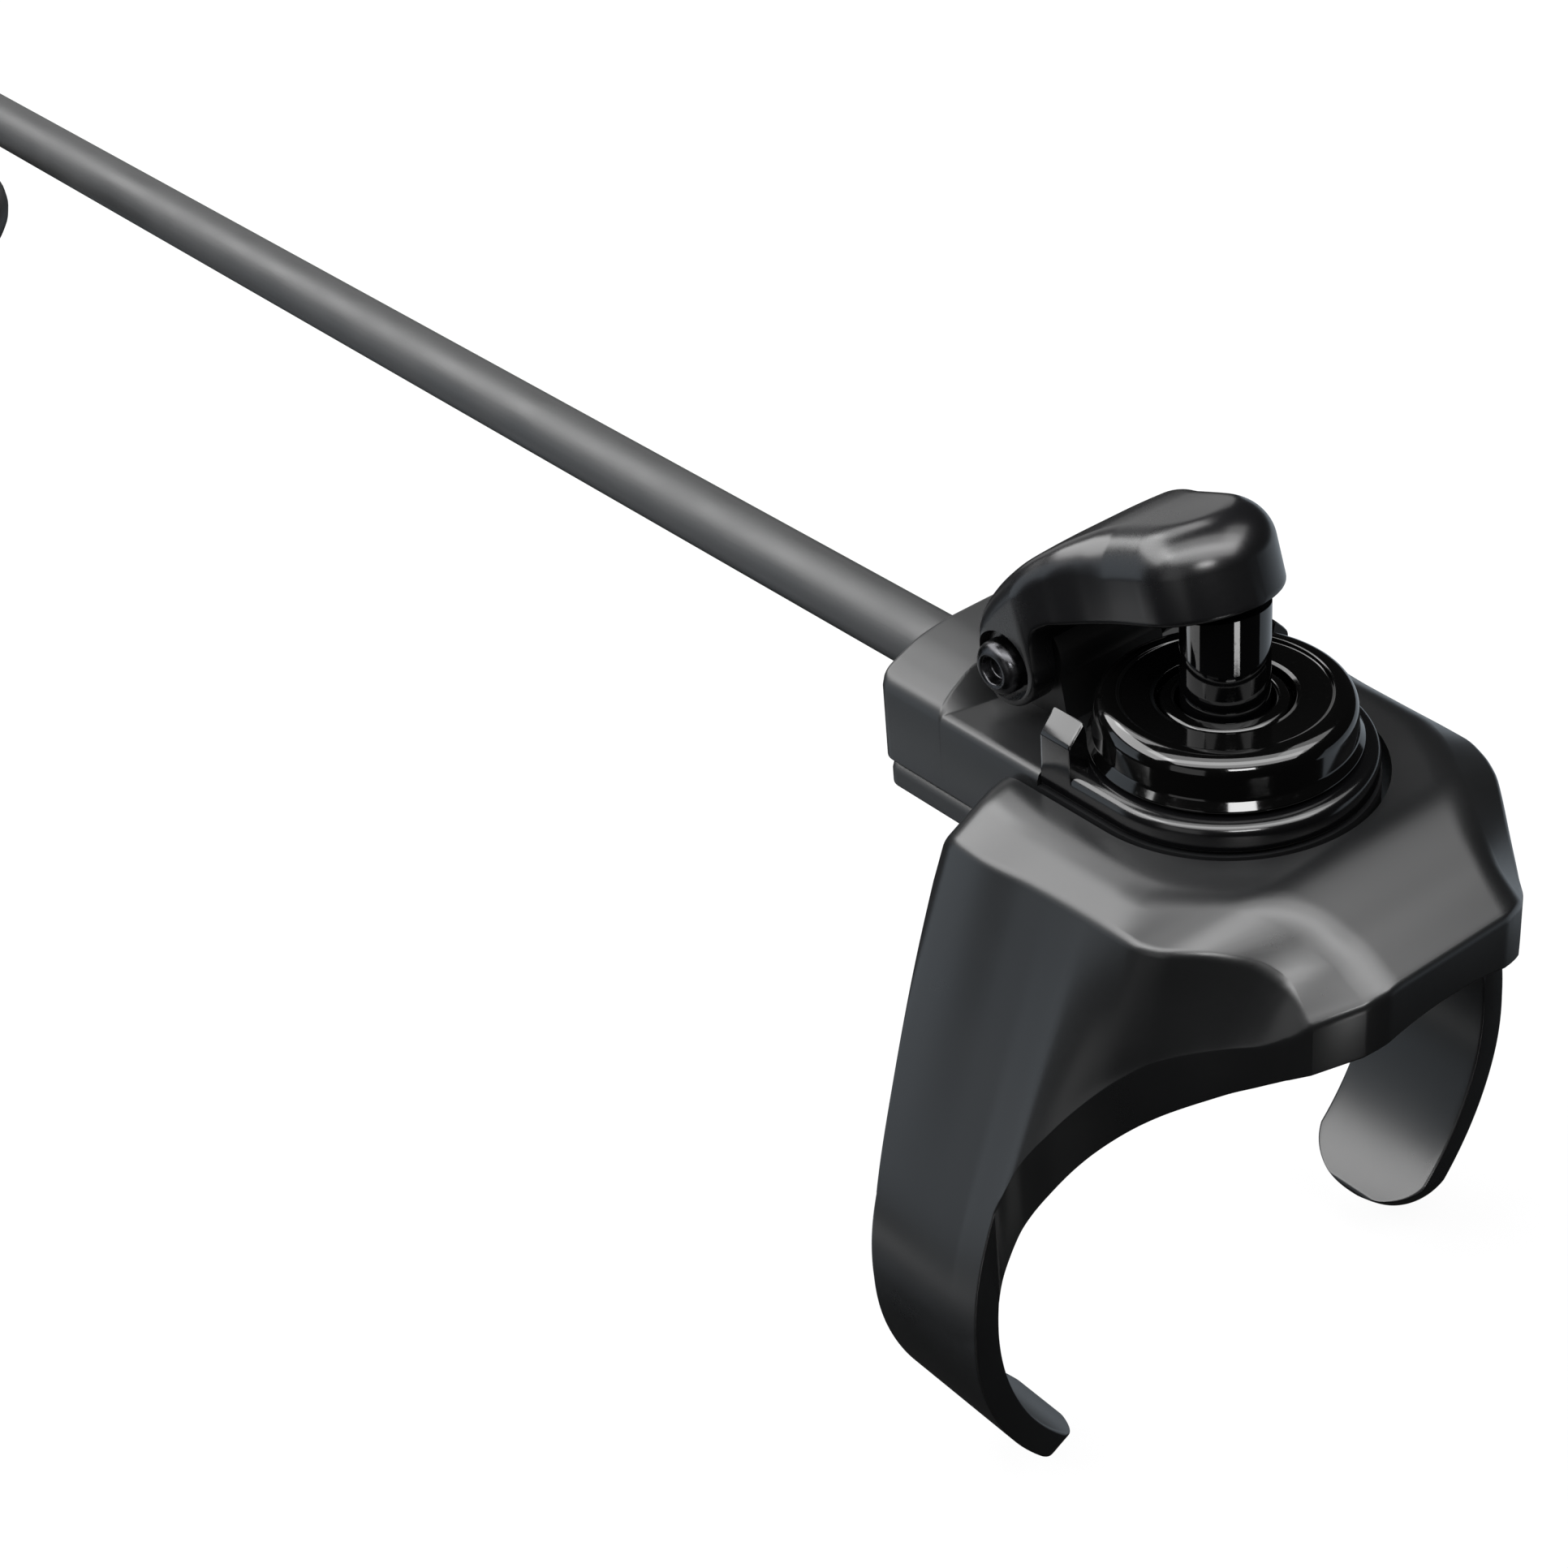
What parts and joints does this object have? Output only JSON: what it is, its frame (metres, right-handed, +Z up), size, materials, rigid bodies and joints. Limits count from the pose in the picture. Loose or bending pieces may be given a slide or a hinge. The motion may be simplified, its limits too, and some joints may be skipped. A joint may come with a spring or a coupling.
{
  "type": "remote sprint shifter",
  "caption": "Handlebar remote shifter: an open C-shaped clip holds a sealed switch block, a hinged lever rests over its push rod, and a cable leaves the back.",
  "frame": {"origin": "on the handlebar's axis, straight below the push rod", "axes": "+X along the bar to the clip's front lip, +Z up through the push rod, the cable leaves along -X"},
  "size_m": [0.1274, 0.0412, 0.0341],
  "materials": {
    "cover_plastic": "matt",
    "boot_rubber": "glossy",
    "cable_jacket": "satin",
    "coil_jacket": "satin",
    "ferrule_brass": "plain",
    "tail_jacket": "satin",
    "board_laminate": "matt",
    "clip_plastic": "fine matt",
    "tie_nylon": "matt",
    "cover_screw_steel_1": "blackened",
    "cover_screw_steel_2": "blackened",
    "lever_plastic": "satin",
    "nose_plastic": "satin",
    "screw_steel": "blackened",
    "plug_plastic": "satin",
    "contact_gold_1": "plated",
    "contact_gold_2": "plated",
    "plug_rubber": "matt",
    "plunger_plastic": "polished",
    "wire_white": "satin",
    "wire_red": "satin",
    "dome_steel": "bright",
    "switch_nylon": "matt",
    "frame_steel": "satin",
    "housing_plastic": "fine matt",
    "stem_nylon": "matt",
    "seal_rubber": "satin"
  },
  "bodies": {
    "block_and_clip": {"bottom_cover": "cover_plastic", "button_boot": "boot_rubber", "cable": "cable_jacket", "cable_coil": "coil_jacket", "cable_ferrule": "ferrule_brass", "cable_tail": "tail_jacket", "circuit_board": "board_laminate", "clip_bracket": "clip_plastic", "coil_tie": "tie_nylon", "cover_screw_1": "cover_screw_steel_1", "cover_screw_2": "cover_screw_steel_2", "nose_cover": "nose_plastic", "plug_body": "plug_plastic", "plug_contact_1": "contact_gold_1", "plug_contact_2": "contact_gold_2", "plug_seal": "plug_rubber", "signal_wire_far": "wire_white", "signal_wire_near": "wire_red", "snap_dome": "dome_steel", "switch_base": "switch_nylon", "switch_frame": "frame_steel", "switch_housing": "housing_plastic", "wiper_seal": "seal_rubber"},
    "lever_arm": {"lever": "lever_plastic", "pivot_screw": "screw_steel"},
    "push_rod": {"plunger": "plunger_plastic"},
    "stem": {"switch_stem": "stem_nylon"}
  },
  "joints": [
    {"name": "lever_hinge", "type": "hinge", "parent": "block_and_clip", "child": "lever_arm", "pos_m": [-0.0066, 0, 0.0187], "axis": [0, 1, 0], "range_deg": [0, 7], "stiffness_Nm_per_rad": 0.05, "springref_deg": -5.73},
    {"name": "push_rod_slide", "type": "slide", "parent": "block_and_clip", "child": "push_rod", "axis": [0, 0, -1], "range_m": [0, 0.000807]},
    {"name": "stem_slide", "type": "slide", "parent": "block_and_clip", "child": "stem", "axis": [0, 0, -1], "range_m": [0, 0.000807], "deforming": ["snap_dome"]}
  ],
  "couplings": [
    {"joint": "push_rod_slide", "follows": "lever_hinge", "m_per_rad": 0.0066},
    {"joint": "stem_slide", "follows": "lever_hinge", "m_per_rad": 0.0066}
  ]
}
